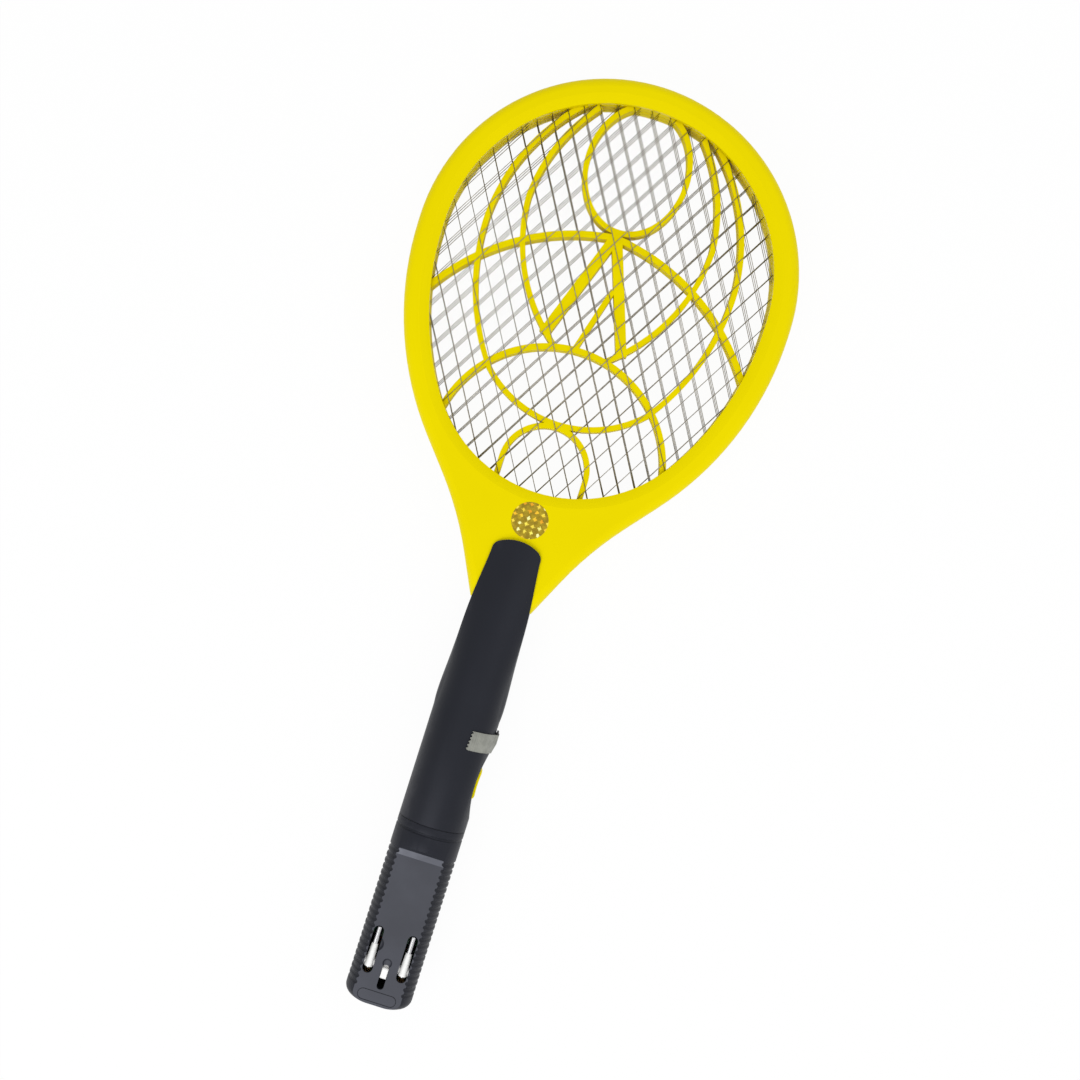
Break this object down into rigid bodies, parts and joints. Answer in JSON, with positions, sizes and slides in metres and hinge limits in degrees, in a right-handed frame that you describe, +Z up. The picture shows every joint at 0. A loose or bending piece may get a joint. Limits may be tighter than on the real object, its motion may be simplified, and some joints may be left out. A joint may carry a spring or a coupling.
{
  "type": "electric fly swatter",
  "caption": "Racket-shaped rechargeable fly swatter with a three-layer wire grid, push trigger, slide switch and fold-out plug.",
  "frame": {"origin": "under the middle of the whole racket, on the surface it lies on", "axes": "+Y along the racket from the butt of the handle to the head, +Z up out of the plug panel, +X towards the trigger side"},
  "size_m": [0.2094, 0.517, 0.0372],
  "materials": {
    "yellow_plastic": "smooth moulded, satin gloss",
    "black_plastic": "fine matt moulded",
    "grid_steel": "dull drawn wire",
    "gold_foil": "glittering foil",
    "screw_steel": "zinc plated",
    "woven_tape": "woven cloth tape",
    "white_plastic": "smooth",
    "pin_metal": "bright plated",
    "board_green": "solder mask",
    "ferrite": "sintered",
    "winding_copper": "enamelled wire",
    "film_capacitor": "dipped",
    "component_black": "moulded",
    "resistor_tan": "lacquered",
    "can_blue": "sleeved",
    "cell_sleeve": "shrink sleeve",
    "nickel_strip": "spot welded",
    "lead_red": "insulation",
    "lead_grey": "insulation",
    "spring_bronze": "rolled strip",
    "switch_black": "moulded"
  },
  "bodies": {
    "racket": {"head_front_frame": "yellow_plastic", "head_rear_frame": "yellow_plastic", "front_web": "yellow_plastic", "rear_web": "yellow_plastic", "front_mesh": "grid_steel", "hv_mesh": "grid_steel", "rear_mesh": "grid_steel", "hologram_sticker": "gold_foil", "head_screws": "screw_steel", "handle_cover": "black_plastic", "handle_base": "black_plastic", "handle_screws": "screw_steel", "tape_strip": "woven_tape", "push_switch_body": "switch_black", "slide_switch_body": "nickel_strip", "contact_springs": "spring_bronze", "circuit_board": "board_green", "charging_board": "board_green", "transformer_core": "ferrite", "transformer_winding": "winding_copper", "hv_capacitor": "film_capacitor", "multiplier_capacitors": "film_capacitor", "hv_diodes": "component_black", "bleed_resistors": "resistor_tan", "drive_transistor": "component_black", "smoothing_capacitor": "can_blue", "dropper_capacitor": "film_capacitor", "rectifier_diodes": "component_black", "battery_cells": "cell_sleeve", "battery_tabs": "nickel_strip", "battery_leads": "lead_red", "charge_leads": "lead_red", "mesh_leads": "lead_grey"},
    "trigger": {"trigger_button": "yellow_plastic", "switch_plunger": "white_plastic"},
    "power_switch": {"power_knob": "switch_black"},
    "plug": {"plug_carrier": "white_plastic", "plug_pins": "pin_metal"}
  },
  "joints": [
    {"name": "trigger_press", "type": "slide", "parent": "racket", "child": "trigger", "axis": [-1, 0, 0], "range_m": [0, 0.0015], "stiffness_N_per_m": 600, "springref_m": -0.002},
    {"name": "power_slide", "type": "slide", "parent": "racket", "child": "power_switch", "axis": [0, 1, 0], "range_m": [0, 0.004]},
    {"name": "plug_fold", "type": "hinge", "parent": "racket", "child": "plug", "pos_m": [0, -0.2375, 0.0268], "axis": [1, 0, 0], "range_deg": [0, 90]}
  ]
}
